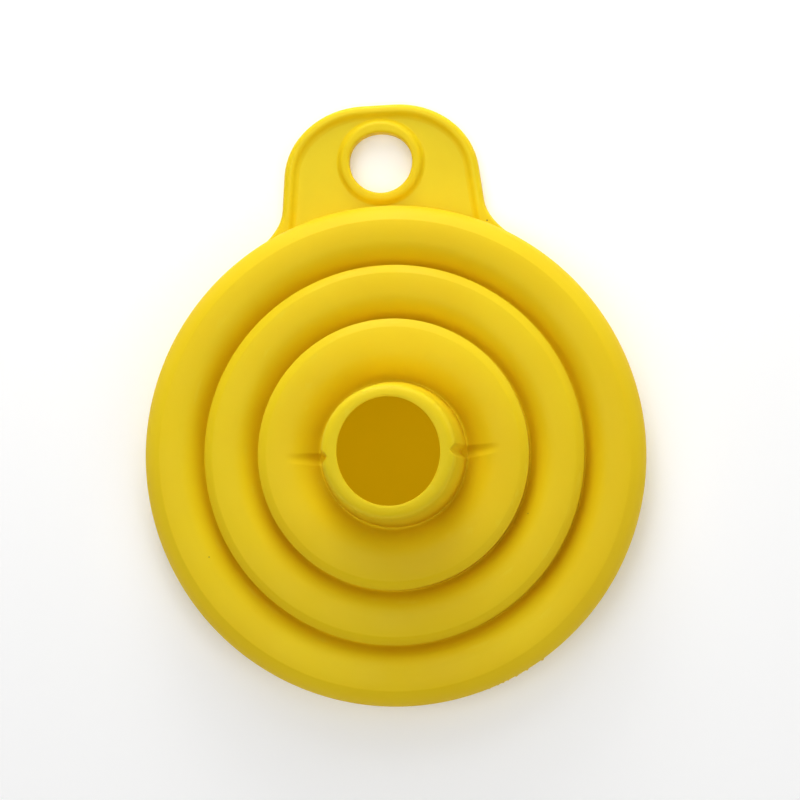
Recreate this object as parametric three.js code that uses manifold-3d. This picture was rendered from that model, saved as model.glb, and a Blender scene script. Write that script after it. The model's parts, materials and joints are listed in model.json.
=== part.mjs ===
// A collapsible silicone funnel, folded flat and lying on its mouth with its spout up.
// Millimetres, +Z up. The mouth rests on z = 0 and the hanging tab points along +Y.
// The real funnel is one moulding: three stiff rings and a spout, joined by thin webs that turn over.
// Folded, each web dips from the hinge inside one ring's shoulder to the foot of the next ring.
// Pulled out, the next ring rises and the web climbs to its foot instead.

import * as THREE from 'three';
import { mergeVertices } from 'three/addons/utils/BufferGeometryUtils.js';
import Module from 'manifold-3d';

// ---- Driving dimensions ----

// The mouth rim: its outer wall, a bevel in to the crest, and a shoulder in to the hinge.
const MOUTH_RADIUS = 39;
const RIM_BEVEL_Z = 5.5;
const RIM_CREST_RADIUS = 36.5;
const RIM_CREST_Z = 8.7;
const RIM_HINGE_RADIUS = 33.65;
const RIM_HINGE_Z = 8.8;
const RIM_LIP_RADIUS = 36.9;
const RIM_LIP_HEIGHT = 6;
const RIM_INNER_BEVEL = 1;

// The middle ring and the inner ring, each a wall, a bevel and a shoulder like the rim's.
const MIDDLE_FOOT_RADIUS = 30.05;
const MIDDLE_RADIUS = 29.35;
const MIDDLE_SHOULDER_Z = 9.1;
const MIDDLE_CREST_RADIUS = 28.1;
const MIDDLE_CREST_Z = 10.1;
const MIDDLE_HINGE_RADIUS = 25.1;
const MIDDLE_HINGE_Z = 10.3;
const INNER_FOOT_RADIUS = 21.55;
const INNER_RADIUS = 20.85;
const INNER_SHOULDER_Z = 11.3;
const INNER_CREST_RADIUS = 19.55;
const INNER_CREST_Z = 12.2;
const INNER_HINGE_RADIUS = 16.45;
const INNER_HINGE_Z = 12.4;
const RING_WALL = 1.6;

// How far each folded web drops from its hinge to the next ring's foot.
const OUTER_DROP = 2.8;
const MIDDLE_DROP = 2.8;
const INNER_DROP = 2.8;

// A web's drop grows in step with its run at first, and with this power of it near its foot.
const WEB_WALL = 1.2;
const WEB_EVEN_SHARE = 0.3;
const WEB_CURL_POWER = 2.2;

// The spout, which tapers to a thick rounded lip.
const SPOUT_FOOT_RADIUS = 11.9;
const SPOUT_BASE_RADIUS = 11.2;
const SPOUT_TIP_RADIUS = 10;
const SPOUT_TIP_Z = 25.5;
const BORE_BASE_RADIUS = 9.8;
const BORE_TIP_RADIUS = 7.9;
const LIP_HEIGHT = 3;
const LIP_ROUNDING = 0.9;
const BORE_ROUNDING = 0.4;

// The air vent grooves, one down each side of the spout and a little way out along the inner web.
const VENT_WIDTH = 1.3;
const VENT_DEPTH = 0.55;
const VENT_REACH = 16.1;
const VENT_CLEARANCE = 1;

// The hanging tab, measured from the funnel's axis.
const TAB_REACH = 55.4;
const TAB_FLAT_HALF_WIDTH = 2.5;
const TAB_CORNER_WIDTH = 12.9;
const TAB_CORNER_LENGTH = 11.4;
const TAB_SIDE_LEAN = THREE.MathUtils.degToRad(6);
const TAB_FILLET_LENGTH = 3.5;
const TAB_HOLE_Y = 46.4;
const TAB_HOLE_RADIUS = 4.95;
const EYELET_RADIUS = 6.6;
const TAB_BEAD_WIDTH = 1.65;
const TAB_PANEL_BOTTOM_Z = 0.4;
const TAB_PANEL_TOP_Z = 2;
const TAB_BEAD_TOP_Z = 2.8;
const EYELET_TOP_Z = 3;
const TAB_EDGE_ROUNDING = 0.4;

// How finely round things are cut.
const TURN_SEGMENTS = 64;
const WEB_STEPS = 6;
const FILLET_STEPS = 3;
const ARC_SEGMENTS = 8;
const HOLE_SEGMENTS = 32;

// The tab's outer edge and its panel meet the rim at these many of the rim's facets from +Y.
const TAB_ROOT_FACETS = 6;
const TAB_PANEL_FACETS = 4;

// The whole funnel's box is centred on the origin, so its axis stands off it towards -Y.
const AXIS_Y = (MOUTH_RADIUS - TAB_REACH) / 2;

const SILICONE_COLOUR = 0xe6c41c;
const SILICONE_ROUGHNESS = 0.55;

// ---- Helpers ----

const wasm = await Module();
wasm.setup();

function silicone() {
  return new THREE.MeshStandardMaterial({
    color: SILICONE_COLOUR,
    roughness: SILICONE_ROUGHNESS,
    metalness: 0,
  });
}

function piece(name, geometry) {
  const mesh = new THREE.Mesh(geometry, silicone());
  mesh.name = name;
  return mesh;
}

// A closed section of [radius, height] points, turned about +Z.
function turned(section) {
  const points = section.map(([radius, height]) => new THREE.Vector2(radius, height));
  points.push(points[0].clone());
  const geometry = new THREE.LatheGeometry(points, TURN_SEGMENTS);
  geometry.rotateX(Math.PI / 2);
  return geometry;
}

function toSolid(geometry) {
  const bare = geometry.clone();
  bare.deleteAttribute('normal');
  bare.deleteAttribute('uv');
  const merged = mergeVertices(bare);
  const vertProperties = new Float32Array(merged.attributes.position.array);
  const triVerts = new Uint32Array(merged.index.array);
  return new wasm.Manifold(new wasm.Mesh({ numProp: 3, vertProperties, triVerts }));
}

function toGeometry(solid) {
  const { vertProperties, triVerts } = solid.getMesh();
  const geometry = new THREE.BufferGeometry();
  geometry.setAttribute('position', new THREE.BufferAttribute(vertProperties, 3));
  geometry.setIndex(new THREE.BufferAttribute(triVerts, 1));
  geometry.computeVertexNormals();
  return geometry;
}

// Points of a quarter round, from [fromR, fromZ] to [toR, toZ], leaving the first along the radius.
function quarterRound(fromR, fromZ, toR, toZ) {
  const points = [];
  for (let i = 0; i <= FILLET_STEPS; i += 1) {
    const angle = (i / FILLET_STEPS) * (Math.PI / 2);
    const radius = fromR + (toR - fromR) * Math.sin(angle);
    const height = fromZ + (toZ - fromZ) * (1 - Math.cos(angle));
    points.push([radius, height]);
  }
  return points;
}

// ---- The webs ----

const OUTER_FOLD = {
  hingeRadius: RIM_HINGE_RADIUS,
  hingeZ: RIM_HINGE_Z,
  footRadius: MIDDLE_FOOT_RADIUS,
  drop: OUTER_DROP,
};
const MIDDLE_FOLD = {
  hingeRadius: MIDDLE_HINGE_RADIUS,
  hingeZ: MIDDLE_HINGE_Z,
  footRadius: INNER_FOOT_RADIUS,
  drop: MIDDLE_DROP,
};
const INNER_FOLD = {
  hingeRadius: INNER_HINGE_RADIUS,
  hingeZ: INNER_HINGE_Z,
  footRadius: SPOUT_FOOT_RADIUS,
  drop: INNER_DROP,
};

// A point on the spout side of a folded web, and the web's upright thickness there.
// share runs from 0 at the hinge to 1 at the foot.
function webPoint(fold, share) {
  const run = fold.hingeRadius - fold.footRadius;
  const curl = 1 - WEB_EVEN_SHARE;
  const depth = WEB_EVEN_SHARE * share + curl * share ** WEB_CURL_POWER;
  const depthRate = WEB_EVEN_SHARE + curl * WEB_CURL_POWER * share ** (WEB_CURL_POWER - 1);
  const slope = (depthRate * fold.drop) / run;
  return {
    radius: fold.hingeRadius - run * share,
    z: fold.hingeZ - fold.drop * depth,
    thickness: WEB_WALL * Math.hypot(1, slope),
  };
}

function footZ(fold) {
  return fold.hingeZ - fold.drop;
}

// The mouth side of a web where it leaves its hinge, and where it meets the next ring's foot.
function hingeUnderZ(fold) {
  return fold.hingeZ - webPoint(fold, 0).thickness;
}

function footUnderZ(fold) {
  return footZ(fold) - webPoint(fold, 1).thickness;
}

function web(fold) {
  const spoutSide = [];
  const mouthSide = [];
  for (let i = 0; i <= WEB_STEPS; i += 1) {
    const at = webPoint(fold, i / WEB_STEPS);
    spoutSide.push([at.radius, at.z]);
    mouthSide.push([at.radius, at.z - at.thickness]);
  }
  return turned([...mouthSide.reverse(), ...spoutSide]);
}

// ---- The rings ----

function mouthRim() {
  return turned([
    [RIM_LIP_RADIUS, 0],
    [MOUTH_RADIUS, 0],
    [MOUTH_RADIUS, RIM_BEVEL_Z],
    [RIM_CREST_RADIUS, RIM_CREST_Z],
    [RIM_HINGE_RADIUS, RIM_HINGE_Z],
    [RIM_HINGE_RADIUS, hingeUnderZ(OUTER_FOLD)],
    [RIM_LIP_RADIUS - RIM_INNER_BEVEL, hingeUnderZ(OUTER_FOLD)],
    [RIM_LIP_RADIUS, RIM_LIP_HEIGHT],
  ]);
}

// A ring's wall stands on a foot, where the web outside it ends. It bevels in to a crest, and its
// shoulder runs in to the hinge where the web inside it starts.
function ring(outside, inside, outerRadius, shoulderZ, crestRadius, crestZ) {
  const underZ = footUnderZ(outside);
  const innerRadius = outerRadius - RING_WALL;
  const rounding = RING_WALL / 2;
  const filletTop = footZ(outside) + outside.footRadius - outerRadius;
  return turned([
    [innerRadius, underZ + rounding],
    [innerRadius + rounding, underZ],
    [outside.footRadius, underZ],
    ...quarterRound(outside.footRadius, footZ(outside), outerRadius, filletTop),
    [outerRadius, shoulderZ],
    [crestRadius, crestZ],
    [inside.hingeRadius, inside.hingeZ],
    [inside.hingeRadius, hingeUnderZ(inside)],
    [innerRadius - rounding, hingeUnderZ(inside)],
    [innerRadius, hingeUnderZ(inside) - rounding],
  ]);
}

// ---- The spout ----

const LIP_Z = SPOUT_TIP_Z - LIP_HEIGHT;
const SPOUT_FOOT_Z = footZ(INNER_FOLD);

function along(base, tip, z) {
  return base + ((tip - base) * (z - SPOUT_FOOT_Z)) / (SPOUT_TIP_Z - SPOUT_FOOT_Z);
}

function wallRadius(z) {
  return along(SPOUT_BASE_RADIUS, SPOUT_TIP_RADIUS, z);
}

function boreRadius(z) {
  return along(BORE_BASE_RADIUS, BORE_TIP_RADIUS, z);
}

// One vent groove's cutter: all that lies less than VENT_DEPTH under the skin, from past the
// spout's tip down its wall and out along the inner web, and the air outside it.
function ventCutter() {
  const shape = new THREE.Shape();
  const pastTip = SPOUT_TIP_Z + VENT_CLEARANCE;
  shape.moveTo(SPOUT_TIP_RADIUS - VENT_DEPTH, pastTip);
  shape.lineTo(SPOUT_BASE_RADIUS - VENT_DEPTH, SPOUT_FOOT_Z);
  shape.lineTo(SPOUT_FOOT_RADIUS, SPOUT_FOOT_Z - VENT_DEPTH);
  const run = INNER_HINGE_RADIUS - SPOUT_FOOT_RADIUS;
  const lastShare = (INNER_HINGE_RADIUS - VENT_REACH) / run;
  for (let i = 1; i <= WEB_STEPS; i += 1) {
    const at = webPoint(INNER_FOLD, 1 + (lastShare - 1) * (i / WEB_STEPS));
    shape.lineTo(at.radius, at.z - VENT_DEPTH);
  }
  shape.lineTo(VENT_REACH, pastTip);
  shape.closePath();
  const cutter = new THREE.ExtrudeGeometry(shape, { depth: VENT_WIDTH, bevelEnabled: false });
  cutter.translate(0, 0, -VENT_WIDTH / 2);
  cutter.rotateX(Math.PI / 2);
  return cutter;
}

function vented(geometry) {
  const right = ventCutter();
  const left = ventCutter().rotateZ(Math.PI);
  return toGeometry(toSolid(geometry).subtract(toSolid(right)).subtract(toSolid(left)));
}

function spout() {
  const underZ = footUnderZ(INNER_FOLD);
  const filletTop = SPOUT_FOOT_Z + SPOUT_FOOT_RADIUS - SPOUT_BASE_RADIUS;
  return turned([
    [boreRadius(SPOUT_FOOT_Z), SPOUT_FOOT_Z],
    [SPOUT_BASE_RADIUS, underZ],
    [SPOUT_FOOT_RADIUS, underZ],
    ...quarterRound(SPOUT_FOOT_RADIUS, SPOUT_FOOT_Z, wallRadius(filletTop), filletTop),
    [wallRadius(LIP_Z), LIP_Z],
    [boreRadius(LIP_Z), LIP_Z],
  ]);
}

function spoutLip() {
  const outerStart = SPOUT_TIP_Z - LIP_ROUNDING;
  const innerStart = SPOUT_TIP_Z - BORE_ROUNDING;
  const outerRound = quarterRound(
    SPOUT_TIP_RADIUS - LIP_ROUNDING, SPOUT_TIP_Z, wallRadius(outerStart), outerStart,
  );
  return turned([
    [boreRadius(LIP_Z), LIP_Z],
    [wallRadius(LIP_Z), LIP_Z],
    ...outerRound.reverse(),
    ...quarterRound(BORE_TIP_RADIUS + BORE_ROUNDING, SPOUT_TIP_Z, boreRadius(innerStart), innerStart),
  ]);
}

// ---- The hanging tab ----

// A corner of the rim's faceted outer wall, counted in facets from +Y towards +X.
function rimCorner(facet) {
  const angle = (facet * 2 * Math.PI) / TURN_SEGMENTS;
  return new THREE.Vector2(MOUTH_RADIUS * Math.sin(angle), MOUTH_RADIUS * Math.cos(angle));
}

// The rim's corners from one facet count to another.
function rimStretch(from, to) {
  const corners = [];
  for (let facet = from; facet <= to; facet += 1) {
    corners.push(rimCorner(facet));
  }
  return corners;
}

// The rounded corner of the tab's +X half, from its leaning side to its flat end. It is a quarter
// of an oval, less the part that the leaning side cuts off.
function tabCorner(inset) {
  const width = TAB_CORNER_WIDTH - inset;
  const length = TAB_CORNER_LENGTH - inset;
  const centreY = TAB_REACH - TAB_CORNER_LENGTH;
  const start = Math.atan((Math.tan(TAB_SIDE_LEAN) * length) / width);
  const arc = new THREE.EllipseCurve(
    TAB_FLAT_HALF_WIDTH, centreY, width, length, start, Math.PI / 2,
  );
  return arc.getPoints(ARC_SEGMENTS);
}

// The hollow curve from the rim's outer wall into the tab's +X side. It leaves the rim along its
// tangent, turns where the tangent meets the side's line, and ends a little way along the side.
function rootFillet() {
  const root = rimCorner(TAB_ROOT_FACETS);
  const tangent = new THREE.Vector2(-root.y, root.x).normalize();
  const outward = new THREE.Vector2(Math.cos(TAB_SIDE_LEAN), Math.sin(TAB_SIDE_LEAN));
  const side = new THREE.Vector2(-outward.y, outward.x);
  const onSide = tabCorner(0)[0];
  const leg = outward.dot(onSide.clone().sub(root)) / outward.dot(tangent);
  const turn = root.clone().addScaledVector(tangent, leg);
  const end = turn.clone().addScaledVector(side, TAB_FILLET_LENGTH);
  return new THREE.QuadraticBezierCurve(root, turn, end).getPoints(FILLET_STEPS);
}

// Both halves of an edge, from the +X root over the tab's end to the -X root.
function wholeEdge(half) {
  const mirrored = half.map((point) => new THREE.Vector2(-point.x, point.y));
  return [...half, ...mirrored.reverse()];
}

function outerEdge() {
  return wholeEdge([...rootFillet(), ...tabCorner(0)]);
}

function beadInnerEdge() {
  return wholeEdge([rimCorner(TAB_PANEL_FACETS), ...tabCorner(TAB_BEAD_WIDTH)]);
}

function circle(radius) {
  return new THREE.Shape().absarc(0, TAB_HOLE_Y, radius, 0, 2 * Math.PI, false);
}

function slab(shape, bottomZ, topZ) {
  const settings = { depth: topZ - bottomZ, bevelEnabled: false, curveSegments: HOLE_SEGMENTS / 2 };
  return new THREE.ExtrudeGeometry(shape, settings).translate(0, 0, bottomZ);
}

function tabPanel() {
  const shape = new THREE.Shape([
    ...beadInnerEdge(),
    ...rimStretch(1 - TAB_PANEL_FACETS, TAB_PANEL_FACETS - 1),
  ]);
  shape.holes.push(circle(EYELET_RADIUS));
  return slab(shape, TAB_PANEL_BOTTOM_Z, TAB_PANEL_TOP_Z);
}

function tabBead() {
  const shape = new THREE.Shape([
    ...outerEdge(),
    ...rimStretch(1 - TAB_ROOT_FACETS, -1 - TAB_PANEL_FACETS),
    ...beadInnerEdge().reverse(),
    ...rimStretch(1 + TAB_PANEL_FACETS, TAB_ROOT_FACETS - 1),
  ]);
  return slab(shape, 0, TAB_BEAD_TOP_Z);
}

function tabEyelet() {
  const shape = circle(EYELET_RADIUS);
  shape.holes.push(circle(TAB_HOLE_RADIUS));
  const geometry = new THREE.ExtrudeGeometry(shape, {
    depth: EYELET_TOP_Z - 2 * TAB_EDGE_ROUNDING,
    curveSegments: HOLE_SEGMENTS / 2,
    bevelThickness: TAB_EDGE_ROUNDING,
    bevelSize: TAB_EDGE_ROUNDING,
    bevelOffset: -TAB_EDGE_ROUNDING,
    bevelSegments: 1,
  });
  return geometry.translate(0, 0, TAB_EDGE_ROUNDING);
}

// ---- The funnel ----

const funnel = new THREE.Group();
funnel.position.y = AXIS_Y;

const mouth = new THREE.Group();
mouth.add(piece('mouth_rim', mouthRim()));
mouth.add(piece('hang_tab', tabPanel()));
mouth.add(piece('tab_bead', tabBead()));
mouth.add(piece('tab_eyelet', tabEyelet()));
mouth.add(piece('outer_web', web(OUTER_FOLD)));

const middle = new THREE.Group();
middle.add(piece('middle_ring', ring(
  OUTER_FOLD, MIDDLE_FOLD, MIDDLE_RADIUS, MIDDLE_SHOULDER_Z, MIDDLE_CREST_RADIUS, MIDDLE_CREST_Z,
)));
middle.add(piece('middle_web', web(MIDDLE_FOLD)));

const inner = new THREE.Group();
inner.add(piece('inner_ring', ring(
  MIDDLE_FOLD, INNER_FOLD, INNER_RADIUS, INNER_SHOULDER_Z, INNER_CREST_RADIUS, INNER_CREST_Z,
)));
inner.add(piece('inner_web', vented(web(INNER_FOLD))));

const outlet = new THREE.Group();
outlet.add(piece('spout', vented(spout())));
outlet.add(piece('spout_lip', vented(spoutLip())));

inner.add(outlet);
middle.add(inner);
mouth.add(middle);
funnel.add(mouth);

export default funnel;
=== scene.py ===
"""A collapsible silicone funnel, folded flat and lying on its mouth, on a pale studio floor.

The funnel is one moulding of matte yellow silicone. Each piece here is one stretch of its wall, in
the place that the CAD gives it, with the rounds, hollows and marks that the CAD leaves out.
Shapes are in millimetres about the funnel's axis, and become metres as each mesh is made.
"""

import json
import math
import random
from collections import namedtuple

import bmesh
import bpy
from mathutils import Matrix, Vector


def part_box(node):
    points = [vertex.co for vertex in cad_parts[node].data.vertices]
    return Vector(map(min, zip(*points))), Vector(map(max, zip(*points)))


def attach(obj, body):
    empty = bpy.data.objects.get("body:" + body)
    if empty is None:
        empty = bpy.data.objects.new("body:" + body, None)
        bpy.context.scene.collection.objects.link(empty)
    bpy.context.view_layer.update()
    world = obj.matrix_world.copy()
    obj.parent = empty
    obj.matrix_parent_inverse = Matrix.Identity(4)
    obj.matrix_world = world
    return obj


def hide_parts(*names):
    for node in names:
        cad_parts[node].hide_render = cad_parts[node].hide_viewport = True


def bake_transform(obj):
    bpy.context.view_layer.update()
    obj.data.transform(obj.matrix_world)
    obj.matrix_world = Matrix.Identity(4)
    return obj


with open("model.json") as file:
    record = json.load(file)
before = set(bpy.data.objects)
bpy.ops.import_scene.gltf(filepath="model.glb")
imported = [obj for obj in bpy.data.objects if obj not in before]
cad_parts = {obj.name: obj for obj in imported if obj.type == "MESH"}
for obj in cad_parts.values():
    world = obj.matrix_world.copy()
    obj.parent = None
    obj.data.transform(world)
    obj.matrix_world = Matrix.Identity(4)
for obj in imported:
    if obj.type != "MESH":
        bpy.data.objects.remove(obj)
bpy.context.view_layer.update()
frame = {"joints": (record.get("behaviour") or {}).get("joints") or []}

MM = 0.001
SLOT = "yellow_silicone"


def reach(node):
    """A round node's outer radius."""
    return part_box(node)[1].x / MM


def top_of(node):
    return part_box(node)[1].z / MM


def travel(joint):
    return max(j["range_m"][1] for j in frame["joints"] if j["name"] == joint) / MM


def centre_y(node):
    low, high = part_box(node)
    return (low.y + high.y) / 2 / MM


AXIS_Y = centre_y("mouth_rim")

# ---- Dimensions: a (radius, height) pair is a point of a wall's section ----

Fold = namedtuple("Fold", "hinge_radius hinge_z foot_radius travel")
OUTER_FOLD = Fold(
    reach("outer_web"), top_of("outer_web"), reach("middle_ring"), travel("outer_fold"))
MIDDLE_FOLD = Fold(
    reach("middle_web"), top_of("middle_web"), reach("inner_ring"), travel("middle_fold"))
INNER_FOLD = Fold(reach("inner_web"), top_of("inner_web"), reach("spout"), travel("inner_fold"))

WEB_DROP = 2.8
WEB_WALL = 1.2
WEB_EVEN_SHARE = 0.12
WEB_CURL_POWER = 2.4
WEB_STEPS = 24

MOUTH_RADIUS = reach("mouth_rim")
RIM_BEVEL_Z = 5.5
RIM_BEVEL_BULGE = (39.0, 7.26)
RIM_CREST = (36.5, 8.7)
RIM_HUMP = (35.2, 9.0)
RIM_INSIDE = 36.9
RIM_CEILING_Z = 6.6
RIM_ROUNDING = 0.4
RIM_CEILING_ROUNDING = 1.2

Ring = namedtuple("Ring", "wall_radius shoulder_z bulge crest hump")
MIDDLE = Ring(29.35, 9.1, (28.82, 9.7), (28.1, 10.1), (26.7, 10.44))
INNER = Ring(20.85, 11.3, (20.32, 11.85), (19.55, 12.2), (18.1, 12.55))
RING_WALL = 1.6
FOOT_ROUNDING = 0.3

SPOUT_BASE_RADIUS = 11.2
SPOUT_TIP_RADIUS = 10.0
SPOUT_TIP_Z = top_of("spout_lip")
BORE_BASE_RADIUS = 9.8
BORE_TIP_RADIUS = 7.9
LIP_Z = 22.5
LIP_ROUNDING = 1.5
BORE_ROUNDING = 0.25
BORE_EDGE_DROP = 0.05
BORE_FLARE = 1
SPOUT_FILLET = 0.3
BORE_OVALNESS = 0.027

VENT_FADE = (11.0, 17.2)
VENT_FADE_POWER = 1.5
VENT_HALF_WIDTH = (1.05, 0.7)
VENT_DEPTH = 0.8
VENT_OFFSET = (-0.26, 0.2)

# The tab: TAB_CORNER is a corner curve's width and length, BEAD_INNER_ROOT a place as (x, y) from
# the funnel's axis, and PANEL_Z the heights of the panel's back and face. The raised edges run out
# onto the panel and end SINK under its face. They are rooted ROOT_DEPTH deep in it, and the bead
# stays ROOT_LIFT clear of its back.
SINK = 0.02
ROOT_DEPTH = 0.6
ROOT_LIFT = 0.2

TAB_REACH = 55.4
TAB_FLAT_HALF_WIDTH = 2.5
TAB_CORNER = (12.9, 11.4)
TAB_SIDE_LEAN = math.radians(6)
TAB_ROOT_ANGLE = math.radians(33.75)
TAB_FILLET_LENGTH = 3.5
BEAD_WIDTH = 1.8
BEAD_TOP_Z = top_of("tab_bead")
BEAD_SWELL = 1.0
BEAD_RUNOUT = 0.8
BEAD_INNER_ROOT = (14.8, 34.6)
BEAD_SIDE = 1.2
BEAD_CROWN_END = 0.8
BEAD_CROWN_TURN = 0.45
BEAD_SHOULDER = 0.15
BEAD_UNDERSIDE = 0.5
BEAD_UNDER_TURN = 0.1
BEAD_ROOT_SHARES = (0.965, 0.985)
PANEL_Z = (0.4, 2.0)
PANEL_ROOT_RADIUS = 38.0
PANEL_BEAD_SHARE = 0.7
HOLE_Y = centre_y("tab_eyelet") - AXIS_Y
HOLE_RADIUS = 4.95
EYELET_TOP_Z = top_of("tab_eyelet")
EYELET_OUTSIDE = 6.5
EYELET_ROOT = 0.4
EYELET_RUNOUT = 0.65
EYELET_SHOULDER = 0.25
EYELET_ROUNDING = 0.5
HOLE_FLATNESS = 0.4
EDGE_ROUNDING = 0.4

TURN_STEP_DEGREES = 1.5
ROUND_STEPS = 9
CORNER_STEPS = 16
PANEL_ROOT_STEPS = 24
HOLE_STEPS = 64
END_GUARD = 0.015
RIDGE_GUARD = 0.07
SHARP_ANGLE = math.radians(24)

# ---- Sections ----


def clamped(share):
    return min(1, max(0, share))


def bend(start, corner, end):
    """Points of a smooth curve from start to end that heads for corner at both ends."""
    points = []
    for i in range(ROUND_STEPS + 1):
        t = i / ROUND_STEPS
        a, b, c = (1 - t) ** 2, 2 * t * (1 - t), t ** 2
        points.append(tuple(a * p + b * q + c * r for p, q, r in zip(start, corner, end)))
    return points


def ended(run, guard=END_GUARD):
    """A run of a section with two more points close inside each end.

    Edge wear, which also paints a highlight on edges, and smooth shading spread from a corner over
    the next two points. Where one piece meets the next this keeps them off the skin, and at a ridge
    it keeps them fine, so the painted highlight there is a thin light line.
    """
    first, last = Vector(run[0]), Vector(run[-1])
    onward = (Vector(run[1]) - first).normalized() * guard
    backward = (Vector(run[-2]) - last).normalized() * guard
    after = [tuple(first + onward * i) for i in (1, 2)]
    before = [tuple(last + backward * i) for i in (2, 1)]
    return [run[0], *after, *run[1:-1], *before, run[-1]]


def web_depth(share):
    """How far down a folded web has gone, as a share of its drop, from its hinge to its foot."""
    return WEB_EVEN_SHARE * share + (1 - WEB_EVEN_SHARE) * share ** WEB_CURL_POWER


def web_slope(fold, share):
    """How steeply a folded web falls there."""
    curl = (1 - WEB_EVEN_SHARE) * WEB_CURL_POWER * share ** (WEB_CURL_POWER - 1)
    return (WEB_EVEN_SHARE + curl) * WEB_DROP / (fold.hinge_radius - fold.foot_radius)


def web_point(fold, share):
    """A point on the web's spout side, and the web's upright thickness there."""
    radius = fold.hinge_radius - (fold.hinge_radius - fold.foot_radius) * share
    thickness = WEB_WALL * math.hypot(1, web_slope(fold, share))
    return radius, fold.hinge_z - WEB_DROP * web_depth(share), thickness


def hinge_under_z(fold):
    return fold.hinge_z - web_point(fold, 0)[2]


def foot_top_z(fold):
    return fold.hinge_z - WEB_DROP


def foot_under_z(fold):
    return foot_top_z(fold) - web_point(fold, 1)[2]


def web_sections(fold):
    """The web's spout side from hinge to foot, and its mouth side from foot to hinge."""
    points = [web_point(fold, i / WEB_STEPS) for i in range(WEB_STEPS + 1)]
    spout_side = [(radius, z) for radius, z, thickness in points]
    mouth_side = [(radius, z - thickness) for radius, z, thickness in points]
    return ended(spout_side), ended(mouth_side[::-1])


def ridged(start, bulge, crest, hump, hinge):
    """A ring's bevel and its hump, which meet in a fine ridge at the crest."""
    bevel = ended(bend(start, bulge, crest), RIDGE_GUARD)
    return ended([*bevel, *ended(bend(crest, hump, hinge), RIDGE_GUARD)[1:]])


def rim_section():
    under = hinge_under_z(OUTER_FOLD)
    outside, inside, rounding = MOUTH_RADIUS, RIM_INSIDE, RIM_ROUNDING
    hinge = (OUTER_FOLD.hinge_radius, OUTER_FOLD.hinge_z)
    return [
        *bend((inside, rounding), (inside, 0), (inside + rounding, 0)),
        *bend((outside - rounding, 0), (outside, 0), (outside, rounding)),
        (outside, NIB_TOP_Z),
        *ridged((outside, RIM_BEVEL_Z), RIM_BEVEL_BULGE, RIM_CREST, RIM_HUMP, hinge),
        (hinge[0], under),
        *bend((inside - RIM_CEILING_ROUNDING, under), (inside, under), (inside, RIM_CEILING_Z)),
    ]


def foot_curve(fold, turn_radius, wall, wall_z):
    """The web's slope carried on down to the next wall's foot, and the turn up the wall."""
    foot_z = foot_top_z(fold)
    turn_z = foot_z - web_slope(fold, 1) * (fold.foot_radius - turn_radius)
    return bend((fold.foot_radius, foot_z), (turn_radius, turn_z), (wall, wall_z))


def ring_section(ring, outside, inside):
    """A ring from the foot where the web outside it ends to the hinge of the web inside it."""
    foot_z = foot_top_z(outside)
    under = foot_under_z(outside)
    ceiling = hinge_under_z(inside)
    inner_radius = ring.wall_radius - RING_WALL
    rounding = RING_WALL / 2
    hinge = (inside.hinge_radius, inside.hinge_z)
    return [
        *bend((inner_radius, under + rounding), (inner_radius, under),
              (inner_radius + rounding, under)),
        (outside.foot_radius, under),
        *ended(foot_curve(outside, ring.wall_radius, ring.wall_radius, foot_z + FOOT_ROUNDING)),
        *ridged((ring.wall_radius, ring.shoulder_z), ring.bulge, ring.crest, ring.hump, hinge),
        (inside.hinge_radius, ceiling),
        *bend((inner_radius - rounding, ceiling), (inner_radius, ceiling),
              (inner_radius, ceiling - rounding)),
    ]


def taper(base, tip, z):
    foot_z = foot_top_z(INNER_FOLD)
    return base + (tip - base) * (z - foot_z) / (SPOUT_TIP_Z - foot_z)


def wall_radius(z):
    return taper(SPOUT_BASE_RADIUS, SPOUT_TIP_RADIUS, z)


def bore_radius(z):
    return taper(BORE_BASE_RADIUS, BORE_TIP_RADIUS, z)


def spout_sections():
    """The spout's outside from its foot to its lip, and its inside from the lip to the foot."""
    foot_z = foot_top_z(INNER_FOLD)
    under = foot_under_z(INNER_FOLD)
    fillet_top = foot_z + SPOUT_FILLET
    flare_top = foot_z + BORE_FLARE
    skin = [
        *foot_curve(INNER_FOLD, wall_radius(foot_z), wall_radius(fillet_top), fillet_top),
        (wall_radius(LIP_Z), LIP_Z),
    ]
    lining = [
        (bore_radius(LIP_Z), LIP_Z),
        *bend((bore_radius(flare_top), flare_top), (bore_radius(foot_z), foot_z),
              (SPOUT_BASE_RADIUS, under)),
        (INNER_FOLD.foot_radius, under),
    ]
    return ended(skin), ended(lining)


def lip_sections():
    """The lip's outside and rounded end, and its inside back down the bore."""
    top = SPOUT_TIP_Z
    shoulder = top - LIP_ROUNDING
    skin = [
        (wall_radius(LIP_Z), LIP_Z),
        *bend((wall_radius(shoulder), shoulder), (wall_radius(top), top),
              (SPOUT_TIP_RADIUS - LIP_ROUNDING, top)),
    ]
    edge_top = top - BORE_EDGE_DROP
    inner_top = top - BORE_ROUNDING
    lining = [
        *bend((BORE_TIP_RADIUS + BORE_ROUNDING, edge_top), (BORE_TIP_RADIUS, edge_top),
              (bore_radius(inner_top), inner_top)),
        (bore_radius(LIP_Z), LIP_Z),
    ]
    return ended(skin), ended(lining)


# ---- Turned pieces ----


def even_angles():
    steps = round(360 / TURN_STEP_DEGREES)
    return [math.radians(TURN_STEP_DEGREES * i) for i in range(steps)]


def dense_angles(centre, half_span, step):
    """Close angles either side of a centre. All three are given in degrees."""
    dense = [centre - half_span + step * i for i in range(round(2 * half_span / step) + 1)]
    return [math.radians(angle % 360) for angle in dense]


def as_metres(x, y, z):
    return x * MM, (AXIS_Y + y) * MM, z * MM


def add_piece(name, verts, faces):
    mesh = bpy.data.meshes.new(name)
    mesh.from_pydata(verts, [], faces)
    mesh.validate()
    mesh.update()
    piece = bpy.data.objects.new(name, mesh)
    bpy.context.scene.collection.objects.link(piece)
    return piece


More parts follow.
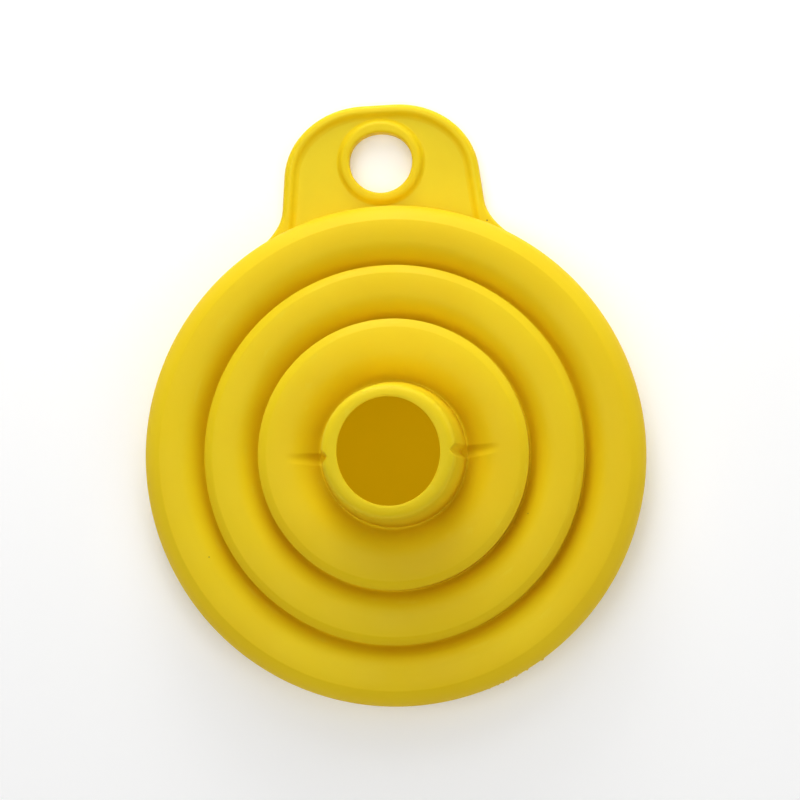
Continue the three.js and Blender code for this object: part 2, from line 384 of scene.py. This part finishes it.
def smooth(piece):
    piece.data.shade_smooth()
    piece.data.set_sharp_from_angle(angle=SHARP_ANGLE)


def turned(name, section, angles=None, shift=None, centre=(0, 0)):
    """Turns a closed section about an upright line. shift(i, radius, z, angle) moves its points."""
    angles = sorted(set(angles or even_angles()))
    verts = []
    for angle in angles:
        for i, (radius, z) in enumerate(section):
            if shift:
                radius, z = shift(i, radius, z, angle)
            x = centre[0] + radius * math.cos(angle)
            y = centre[1] + radius * math.sin(angle)
            verts.append(as_metres(x, y, z))
    count = len(section)
    faces = []
    for k in range(len(angles)):
        here, there = k * count, (k + 1) % len(angles) * count
        for i in range(count):
            j = (i + 1) % count
            faces.append((here + i, there + i, there + j, here + j))
    piece = add_piece(name, verts, faces)
    smooth(piece)
    return piece


# The air vents: a shallow V down each side of the spout and out along the inner web.

VENT_HALF_SPAN = 9.1
VENT_STEP = 0.35
VENT_ANGLES = even_angles()
for side in (0, 180):
    VENT_ANGLES += dense_angles(side, VENT_HALF_SPAN, VENT_STEP)


def faded(radius):
    """1 up to the near end of the vents' fade, and 0 beyond its far end."""
    near, far = VENT_FADE
    return clamped((far - radius) / (far - near))


def vent_cut(radius, angle):
    """How deep a vent groove is. A pair of sizes is for the spout, and for the vent's far end."""
    fade = faded(radius)
    line, half_width = (
        near * fade + far * (1 - fade) for near, far in (VENT_OFFSET, VENT_HALF_WIDTH))
    across = abs(radius * math.sin(angle) - line) / half_width
    if across >= 1:
        return 0
    return VENT_DEPTH * fade ** VENT_FADE_POWER * (1 - across) * (1 + across * (1 - across))


def spout_shift(skin_count):
    """Presses the vents into the skin, and makes the bore a little oval."""
    foot_z = foot_top_z(INNER_FOLD)

    def shift(i, radius, z, angle):
        if i >= skin_count:
            return radius * (1 - BORE_OVALNESS * math.cos(2 * angle)), z
        cut = vent_cut(radius, angle)
        upright = clamped((z - foot_z) / SPOUT_FILLET)
        inward = max(0, min(cut, radius - wall_radius(z) + cut))
        return radius - inward * upright, z - cut * (1 - upright)
    return shift


def web_shift(skin_count):
    """Presses the far ends of the vents into the inner web's skin."""
    def shift(i, radius, z, angle):
        if i >= skin_count:
            return radius, z
        return radius, z - vent_cut(radius, angle)
    return shift


# Ragged bits of mould flash on the rim's outer edge, near the table. Angles are in degrees.

NIB_RANGE = (288.0, 303.0)
NIB_HALF_SPAN = 8.5
NIB_STEP = 0.15
NIB_COUNT = 9
NIB_HEIGHT = 0.4
NIB_HALF_WIDTH = 0.6
NIB_TOP_Z = 1.4
NIB_SHIFT = 0.3
NIB_LEAST = 0.5


def make_nibs():
    draw = random.Random(11)
    low, high = NIB_RANGE
    pitch = (high - low) / NIB_COUNT
    nibs = []
    for i in range(NIB_COUNT):
        angle = low + pitch * (i + 0.5 + draw.uniform(-NIB_SHIFT, NIB_SHIFT))
        nibs.append((math.radians(angle), NIB_HEIGHT * draw.uniform(NIB_LEAST, 1)))
    return nibs


NIBS = make_nibs()
RIM_ANGLES = even_angles() + dense_angles(sum(NIB_RANGE) / 2, NIB_HALF_SPAN, NIB_STEP)


def rim_flash(i, radius, z, angle):
    if radius < MOUTH_RADIUS - RIM_ROUNDING or z >= NIB_TOP_Z:
        return radius, z
    for nib_angle, height in NIBS:
        across = abs(angle - nib_angle) * MOUTH_RADIUS / NIB_HALF_WIDTH
        if across < 1:
            radius += height * (1 - across)
    return radius, z


# ---- The folding webs ----


def fold_between(piece, fold):
    """Works out how far each point of a web would climb from its hinge to the next ring's foot when
    its fold is pulled out, then puts every point back where it was.
    """
    mesh = piece.data
    rest = [vertex.co.copy() for vertex in mesh.vertices]
    run = fold.hinge_radius - fold.foot_radius
    for vertex in mesh.vertices:
        radius = math.hypot(vertex.co.x, vertex.co.y - AXIS_Y * MM) / MM
        share = clamped((fold.hinge_radius - radius) / run)
        climb = (fold.travel - WEB_DROP) * share + WEB_DROP * web_depth(share)
        follow = clamped(climb / fold.travel)
        along = 0.5 - math.sin(math.asin(1 - 2 * follow) / 3)
        vertex.co = (along, 0, 0)
    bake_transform(piece)
    for vertex, place in zip(mesh.vertices, rest):
        vertex.co = place
    mesh.update()


# ---- The hanging tab ----


def corner_arc(inset):
    """The rounded corner of the tab's +X half, from its leaning side to its flat end."""
    width, length = (size - inset for size in TAB_CORNER)
    start = math.atan(math.tan(TAB_SIDE_LEAN) * length / width)
    points = []
    for i in range(CORNER_STEPS + 1):
        angle = start + (math.pi / 2 - start) * i / CORNER_STEPS
        x = TAB_FLAT_HALF_WIDTH + width * math.cos(angle)
        y = TAB_REACH - TAB_CORNER[1] + length * math.sin(angle)
        points.append(Vector((x, y)))
    return points


def root_fillet():
    """The hollow curve from the rim's wall into the tab's +X side."""
    root = Vector((math.sin(TAB_ROOT_ANGLE), math.cos(TAB_ROOT_ANGLE))) * MOUTH_RADIUS
    tangent = Vector((-root.y, root.x)).normalized()
    outward = Vector((math.cos(TAB_SIDE_LEAN), math.sin(TAB_SIDE_LEAN)))
    side = Vector((-outward.y, outward.x))
    leg = outward.dot(corner_arc(0)[0] - root) / outward.dot(tangent)
    turn = root + tangent * leg
    return [Vector(point) for point in bend(root, turn, turn + side * TAB_FILLET_LENGTH)]


def spread(start, end, count):
    return [start.lerp(end, i / (count - 1)) for i in range(count)]


def bead_edges():
    """Matching points of the bead's outer and inner edges, over the tab's +X half."""
    fillet = root_fillet()
    inner_root = Vector(BEAD_INNER_ROOT)
    inner_corner = corner_arc(BEAD_WIDTH)
    side_inner = fillet[-1] - Vector((BEAD_WIDTH, 0))
    outer_share, inner_share = BEAD_ROOT_SHARES
    outer = [fillet[0] * outer_share, *fillet, *corner_arc(0)]
    inner = [inner_root * inner_share, *spread(inner_root, side_inner, len(fillet)), *inner_corner]
    outer.append(Vector((0, TAB_REACH)))
    inner.append(Vector((0, TAB_REACH - BEAD_WIDTH)))
    return outer, inner


def mirrored(points):
    return points + [Vector((-point.x, point.y)) for point in reversed(points[:-1])]


def bead_section(width):
    """The bead's section as (distance in from its outer edge, height)."""
    top, panel, rounding = BEAD_TOP_Z, PANEL_Z[1], EDGE_ROUNDING
    far = width + BEAD_RUNOUT
    shoulder = (width - BEAD_SHOULDER, (top + panel) / 2)
    return [
        *bend((rounding, 0), (0, 0), (0, rounding)),
        *bend((0, top - BEAD_SIDE), (0, top), (BEAD_SWELL, top)),
        *bend((width - BEAD_CROWN_END, top), (width - BEAD_CROWN_TURN, top), shoulder),
        *bend(shoulder, (width + BEAD_SHOULDER, panel - SINK / 2), (far, panel - SINK))[1:],
        (far, panel - ROOT_DEPTH),
        (far, PANEL_Z[0] + ROOT_LIFT),
        *bend((width, PANEL_Z[0]), (width - BEAD_UNDER_TURN, 0), (width - BEAD_UNDERSIDE, 0)),
    ]


def tab_bead():
    outer, inner = (mirrored(points) for points in bead_edges())
    verts = []
    for out, into in zip(outer, inner):
        inward = (into - out).normalized()
        section = bead_section((into - out).length)
        for distance, z in section:
            place = out + inward * distance
            verts.append(as_metres(place.x, place.y, z))
    count = len(section)
    faces = [tuple(range(count - 1, -1, -1))]
    for k in range(len(outer) - 1):
        here, there = k * count, (k + 1) * count
        for i in range(count):
            j = (i + 1) % count
            faces.append((here + i, here + j, there + j, there + i))
    last = (len(outer) - 1) * count
    faces.append(tuple(range(last, last + count)))
    piece = add_piece("tab_bead_skin", verts, faces)
    smooth(piece)
    return piece


def panel_outline():
    half = [Vector(BEAD_INNER_ROOT), *corner_arc(BEAD_WIDTH * PANEL_BEAD_SHARE)]
    edge = half + [Vector((-point.x, point.y)) for point in reversed(half)]
    start = math.atan2(BEAD_INNER_ROOT[0], BEAD_INNER_ROOT[1])
    for i in range(1, PANEL_ROOT_STEPS):
        angle = -start + 2 * start * i / PANEL_ROOT_STEPS
        edge.append(Vector((math.sin(angle), math.cos(angle))) * PANEL_ROOT_RADIUS)
    return edge


def hole_outline():
    radius = (HOLE_RADIUS + EYELET_OUTSIDE) / 2
    edge = []
    for i in range(HOLE_STEPS):
        angle = 2 * math.pi * i / HOLE_STEPS
        edge.append(Vector((radius * math.cos(angle), HOLE_Y + radius * math.sin(angle))))
    return edge


def tab_panel():
    mesh = bmesh.new()
    outlines = panel_outline(), hole_outline()
    levels = []
    for z in PANEL_Z:
        loops = [[mesh.verts.new(as_metres(point.x, point.y, z)) for point in outline]
                 for outline in outlines]
        edges = [mesh.edges.new((loop[i - 1], loop[i])) for loop in loops for i in range(len(loop))]
        bmesh.ops.triangle_fill(mesh, edges=edges, use_beauty=True)
        levels.append(loops)
    for low, high in zip(*levels):
        for i in range(len(low)):
            mesh.faces.new((low[i - 1], low[i], high[i], high[i - 1]))
    bmesh.ops.recalc_face_normals(mesh, faces=mesh.faces[:])
    piece = add_piece("hang_tab_skin", [], [])
    mesh.to_mesh(piece.data)
    mesh.free()
    return piece


def eyelet_section():
    top, panel, rounding = EYELET_TOP_Z, PANEL_Z[1], EDGE_ROUNDING
    inner, outer = HOLE_RADIUS, EYELET_OUTSIDE
    middle = (inner + outer) / 2
    shoulder = (outer, (top + panel) / 2)
    return [
        *bend((inner, rounding), (inner, 0), (inner + rounding, 0)),
        *bend((outer - rounding, 0), (outer, 0), (outer, rounding)),
        (outer + EYELET_ROOT, panel - ROOT_DEPTH),
        *bend((outer + EYELET_RUNOUT, panel - SINK), (outer + EYELET_SHOULDER, panel - SINK / 2),
              shoulder),
        *bend(shoulder, (outer - EYELET_SHOULDER, top), (middle, top))[1:],
        *bend((inner + EYELET_ROUNDING, top), (inner, top), (inner, top - EYELET_ROUNDING)),
    ]


def eyelet_shift(i, radius, z, angle):
    """Flattens the far side of the tab's hole a little."""
    if radius < (HOLE_RADIUS + EYELET_OUTSIDE) / 2:
        radius -= HOLE_FLATNESS * max(0, math.sin(angle)) ** 3
    return radius, z


# ---- Material: yellow skin with faint clouds, a fine grain, edges lightened as rubbed wear and as ----
# # painted highlight, and dark specks ----

YELLOW = (0.97, 0.785, 0.008, 1)
DEEP_YELLOW = (0.93, 0.72, 0.005, 1)
WORN_AND_HIGHLIGHT_YELLOW = (0.98, 0.86, 0.04, 1)
SPECK_BROWN = (0.10, 0.06, 0.01, 1)
THROUGH_LIGHT = (1.0, 0.56, 0.0, 1)
TRANSLUCENCY = 0.26

CLOUD_SCALE = 45.0
CLOUD_RANGE = (0.35, 0.7)
RIPPLE_SCALE = 160.0
RIPPLE_RANGE = (0.3, 0.7)
GRAIN_SCALE = 1300.0
GRAIN_PITS = (0.25, 0.45)
GRAIN_TINT = 0.12
GRAIN_RELIEF = 0.35
WORN_AND_HIGHLIGHT_EDGE = (0.53, 0.62)
WEAR_AND_HIGHLIGHT = 0.5
SPECK_SCALE = 170.0
SPECK_EDGE = (0.015, 0.03)
SPECKLESS_SHARE = 0.4
BUMP_HEIGHT = 0.00008
BUMP_STRENGTH = 0.25
ROUGHNESS = (0.46, 0.6)
SILICONE_IOR = 1.41
SPECULAR_LEVEL = 0.35


class Nodes:
    """The node tree of a material or world, with short ways to add and join nodes."""

    def __init__(self, owner):
        owner.use_nodes = True
        self.owner = owner
        self.tree = owner.node_tree

    def put(self, socket, value):
        """Gives a socket a plain value, or joins another node's output to it."""
        if isinstance(value, bpy.types.NodeSocket):
            self.tree.links.new(value, socket)
        else:
            socket.default_value = value

    def add(self, kind, **inputs):
        """Adds a node. An input's name has underscores for its spaces."""
        node = self.tree.nodes.new(kind)
        for key, value in inputs.items():
            self.put(node.inputs[key.replace("_", " ")], value)
        return node

    def noise(self, place, scale, detail):
        node = self.add("ShaderNodeTexNoise", Vector=place, Scale=scale, Detail=detail)
        return node.outputs["Fac"]

    def ranged(self, value, low, high, to_low=0.0, to_high=1.0):
        node = self.add("ShaderNodeMapRange", Value=value, From_Min=low, From_Max=high,
                        To_Min=to_low, To_Max=to_high)
        return node.outputs["Result"]

    def mixed(self, share, first, second):
        node = self.tree.nodes.new("ShaderNodeMix")
        node.data_type = "RGBA"
        self.put(node.inputs["Factor"], share)
        colours = [socket for socket in node.inputs if socket.type == "RGBA"]
        for socket, value in zip(colours, (first, second)):
            self.put(socket, value)
        return next(socket for socket in node.outputs if socket.type == "RGBA")

    def maths(self, operation, first, second):
        node = self.tree.nodes.new("ShaderNodeMath")
        node.operation = operation
        self.put(node.inputs[0], first)
        self.put(node.inputs[1], second)
        return node.outputs[0]


def specks(nodes, place):
    """Sparse dark grains moulded into the skin: the middles of a few scattered cells."""
    cells = nodes.add("ShaderNodeTexVoronoi", Vector=place, Scale=SPECK_SCALE)
    near = nodes.ranged(cells.outputs["Distance"], *SPECK_EDGE, 1.0, 0.0)
    chance = nodes.add("ShaderNodeSeparateColor", Color=cells.outputs["Color"])
    chosen = nodes.maths("GREATER_THAN", chance.outputs[0], SPECKLESS_SHARE)
    return nodes.maths("MULTIPLY", near, chosen)


def silicone():
    nodes = Nodes(bpy.data.materials.new(SLOT))
    shader = nodes.tree.nodes["Principled BSDF"]
    place = nodes.add("ShaderNodeTexCoord").outputs["Object"]
    cloud = nodes.noise(place, CLOUD_SCALE, 3.0)
    grain = nodes.noise(place, GRAIN_SCALE, 3.0)
    ripple = nodes.noise(place, RIPPLE_SCALE, 2.0)

    colour = nodes.mixed(nodes.ranged(cloud, *CLOUD_RANGE), YELLOW, DEEP_YELLOW)
    # Painted highlight and wear: convex edges and crests are lightened toward a paler yellow,
    # partly as rubbed wear and partly as a painted highlight along crests and bevel edges.
    edge = nodes.add("ShaderNodeNewGeometry").outputs["Pointiness"]
    wear_and_highlight = nodes.maths("MULTIPLY", nodes.ranged(edge, *WORN_AND_HIGHLIGHT_EDGE, 0.0, WEAR_AND_HIGHLIGHT), ripple)
    colour = nodes.mixed(wear_and_highlight, colour, WORN_AND_HIGHLIGHT_YELLOW)
    pits = nodes.ranged(grain, *GRAIN_PITS, GRAIN_TINT, 0.0)
    colour = nodes.mixed(pits, colour, DEEP_YELLOW)
    colour = nodes.mixed(specks(nodes, place), colour, SPECK_BROWN)

    relief = nodes.maths("ADD", nodes.maths("MULTIPLY", grain, GRAIN_RELIEF), ripple)
    bump = nodes.add(
        "ShaderNodeBump", Height=relief, Strength=BUMP_STRENGTH, Distance=BUMP_HEIGHT)
    normal = bump.outputs["Normal"]

    nodes.put(shader.inputs["Base Color"], colour)
    nodes.put(shader.inputs["Roughness"], nodes.ranged(ripple, *RIPPLE_RANGE, *ROUGHNESS))
    nodes.put(shader.inputs["IOR"], SILICONE_IOR)
    nodes.put(shader.inputs["Specular IOR Level"], SPECULAR_LEVEL)
    nodes.put(shader.inputs["Normal"], normal)

    through = nodes.add("ShaderNodeBsdfTranslucent", Color=THROUGH_LIGHT, Normal=normal)
    blend = nodes.add("ShaderNodeMixShader", Fac=TRANSLUCENCY)
    nodes.put(blend.inputs[1], shader.outputs["BSDF"])
    nodes.put(blend.inputs[2], through.outputs["BSDF"])
    nodes.put(nodes.tree.nodes["Material Output"].inputs["Surface"], blend.outputs["Shader"])
    return nodes.owner


# ---- The pieces ----

SILICONE = silicone()


def finish_piece(piece, *cad_nodes):
    piece.data.materials.append(SILICONE)
    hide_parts(*cad_nodes)


def rigid(piece, body, *cad_nodes):
    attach(piece, body)
    finish_piece(piece, *cad_nodes)


def folding(piece, fold, outer_body, inner_body, *cad_nodes):
    fold_between(piece, fold)
    finish_piece(piece, *cad_nodes)


def plain_web(name, fold):
    spout_side, mouth_side = web_sections(fold)
    return turned(name, spout_side + mouth_side)


def vented(name, sections, shift):
    skin, lining = sections
    return turned(name, skin + lining, VENT_ANGLES, shift(len(skin)))


rigid(turned("mouth_rim_skin", rim_section(), RIM_ANGLES, rim_flash), "mouth", "mouth_rim")
rigid(tab_panel(), "mouth", "hang_tab")
rigid(tab_bead(), "mouth", "tab_bead")
rigid(turned("tab_eyelet_skin", eyelet_section(), shift=eyelet_shift, centre=(0, HOLE_Y)),
      "mouth", "tab_eyelet")
folding(plain_web("outer_web_skin", OUTER_FOLD), OUTER_FOLD, "mouth", "middle", "outer_web")

rigid(turned("middle_ring_skin", ring_section(MIDDLE, OUTER_FOLD, MIDDLE_FOLD)),
      "middle", "middle_ring")
folding(plain_web("middle_web_skin", MIDDLE_FOLD), MIDDLE_FOLD, "middle", "inner", "middle_web")

rigid(turned("inner_ring_skin", ring_section(INNER, MIDDLE_FOLD, INNER_FOLD)),
      "inner", "inner_ring")
folding(vented("inner_web_skin", web_sections(INNER_FOLD), web_shift),
        INNER_FOLD, "inner", "outlet", "inner_web")

rigid(vented("spout_skin", spout_sections(), spout_shift), "outlet", "spout")
rigid(vented("spout_lip_skin", lip_sections(), spout_shift), "outlet", "spout_lip")

# ---- Stage: the floor is in metres, and the painted-light amber disc in millimetres ----

FLOOR_SIZE = 40.0
FLOOR_COLOUR = (0.95, 0.95, 0.95, 1)
WHITE = (1, 1, 1, 1)
FLOOR_GLOW = 0.12
FLOOR_GLOW_REACH = (0.25, 1.0)
HORIZON_LIGHT = 0.7
STAGE_ROUGHNESS = 0.9
STAGE_SPECULAR_LEVEL = 0.1
# The disc under the funnel is painted amber light: its colour and its glow stand for light that
# comes through the silicone.
DISC_RADIUS = 36.0
DISC_Z = 0.05
DISC_COLOUR = (0.30, 0.20, 0.0, 1)
DISC_LIGHT = (0.345, 0.205, 0.0, 1)


def stage_material(name, colour, light=(0, 0, 0, 1)):
    nodes = Nodes(bpy.data.materials.new(name))
    shader = nodes.tree.nodes["Principled BSDF"]
    nodes.put(shader.inputs["Base Color"], colour)
    nodes.put(shader.inputs["Roughness"], STAGE_ROUGHNESS)
    nodes.put(shader.inputs["Specular IOR Level"], STAGE_SPECULAR_LEVEL)
    nodes.put(shader.inputs["Emission Color"], light)
    nodes.put(shader.inputs["Emission Strength"], 1.0)
    return nodes.owner


def floor_material():
    """A pale floor that glows away from the funnel, so that it stays pale to the horizon."""
    nodes = Nodes(stage_material("floor", FLOOR_COLOUR, WHITE))
    shader = nodes.tree.nodes["Principled BSDF"]
    away = nodes.tree.nodes.new("ShaderNodeVectorMath")
    away.operation = "LENGTH"
    nodes.put(away.inputs[0], nodes.add("ShaderNodeTexCoord").outputs["Object"])
    glow = nodes.ranged(away.outputs["Value"], *FLOOR_GLOW_REACH, FLOOR_GLOW, HORIZON_LIGHT)
    nodes.put(shader.inputs["Emission Strength"], glow)
    return nodes.owner


def stage_sheet(name, outline, z, material):
    verts = [(x, y, z) for x, y in outline]
    sheet = add_piece(name, verts, [tuple(range(len(verts)))])
    sheet.data.materials.append(material)


half_floor = FLOOR_SIZE / 2
square = [(-half_floor, -half_floor), (half_floor, -half_floor),
          (half_floor, half_floor), (-half_floor, half_floor)]
stage_sheet("floor", square, 0, floor_material())

# Light that comes through the silicone fills the hollow under the funnel with amber, seen through
# # the bore. This disc on the floor under the funnel is painted light that stands for it: it is
# # coloured amber and glows.
disc = [as_metres(DISC_RADIUS * math.cos(angle), DISC_RADIUS * math.sin(angle), 0)[:2]
        for angle in even_angles()]
stage_sheet("painted_amber_light", disc, DISC_Z * MM,
            stage_material("painted_amber_light", DISC_COLOUR, DISC_LIGHT))

# ---- Camera: nearly straight down, turned a little and leaning towards the mouth's near right ----
# Its distances are in metres.

CAMERA_TURN = math.radians(3.15)
CAMERA_LEAN = (0.0500, -0.0493)
CAMERA_DISTANCE = 0.45
VIEW_WIDTH = 0.12456
VIEW_OFFSET = (0.00075, 0.00858)
SENSOR_WIDTH = 36


def make_camera():
    right = Vector((math.cos(CAMERA_TURN), -math.sin(CAMERA_TURN), 0))
    up = Vector((math.sin(CAMERA_TURN), math.cos(CAMERA_TURN), 0))
    back = Vector((0, 0, 1)) + right * CAMERA_LEAN[0] + up * CAMERA_LEAN[1]
    back.normalize()
    target = Vector((0, AXIS_Y * MM, RIM_BEVEL_Z * MM))
    target += right * VIEW_OFFSET[0] + up * VIEW_OFFSET[1]
    across = (right - back * right.dot(back)).normalized()
    turn = Matrix((across, back.cross(across), back)).transposed().to_4x4()
    data = bpy.data.cameras.new("camera")
    data.sensor_width = SENSOR_WIDTH
    data.lens = SENSOR_WIDTH * CAMERA_DISTANCE / VIEW_WIDTH
    camera = bpy.data.objects.new("camera", data)
    bpy.context.scene.collection.objects.link(camera)
    camera.matrix_world = Matrix.Translation(target + back * CAMERA_DISTANCE) @ turn
    bpy.context.scene.camera = camera


make_camera()

# ---- Light: soft boxes aimed at the funnel ----
# Each is (name, azimuth, elevation, watts, distance, width), in degrees and metres. The back ones
# are close, so the light falls off from the tab's side of the funnel to the near side.

LIGHTS = (
    ("back_low", 92, 14, 0.53, 0.40, 0.20),
    ("back", 90, 30, 0.41, 0.30, 0.27),
    ("back_high", 104, 50, 0.84, 0.90, 0.50),
    ("right_back", 35, 12, 0.88, 0.90, 0.55),
    ("right_front", 324, 43, 1.45, 0.90, 0.60),
    ("left", 194, 57, 1.65, 0.90, 0.65),
    ("overhead", 45, 86, 2.60, 0.90, 0.90),
)


def make_light(name, azimuth, elevation, watts, distance, width):
    turn, rise = math.radians(azimuth), math.radians(elevation)
    toward = Vector((math.cos(turn) * math.cos(rise), math.sin(turn) * math.cos(rise),
                     math.sin(rise)))
    data = bpy.data.lights.new(name, "AREA")
    data.shape = "DISK"
    data.energy = watts
    data.size = width
    light = bpy.data.objects.new(name, data)
    bpy.context.scene.collection.objects.link(light)
    light.location = toward * distance
    light.rotation_euler = toward.to_track_quat("Z", "Y").to_euler()


for settings in LIGHTS:
    make_light(*settings)

# A pale glow round the horizon, which is dark overhead so that the soft boxes shape the funnel.

HORIZON_FADE = (0.12, 0.35)


def make_world():
    world = bpy.data.worlds.new("studio")
    nodes = Nodes(world)
    direction = nodes.add("ShaderNodeTexCoord").outputs["Generated"]
    rise = nodes.add("ShaderNodeSeparateXYZ", Vector=direction).outputs["Z"]
    background = world.node_tree.nodes["Background"]
    nodes.put(background.inputs["Color"], WHITE)
    strength = nodes.ranged(rise, *HORIZON_FADE, HORIZON_LIGHT, 0.0)
    nodes.put(background.inputs["Strength"], strength)
    bpy.context.scene.world = world


make_world()
bpy.context.scene.view_settings.view_transform = "Standard"
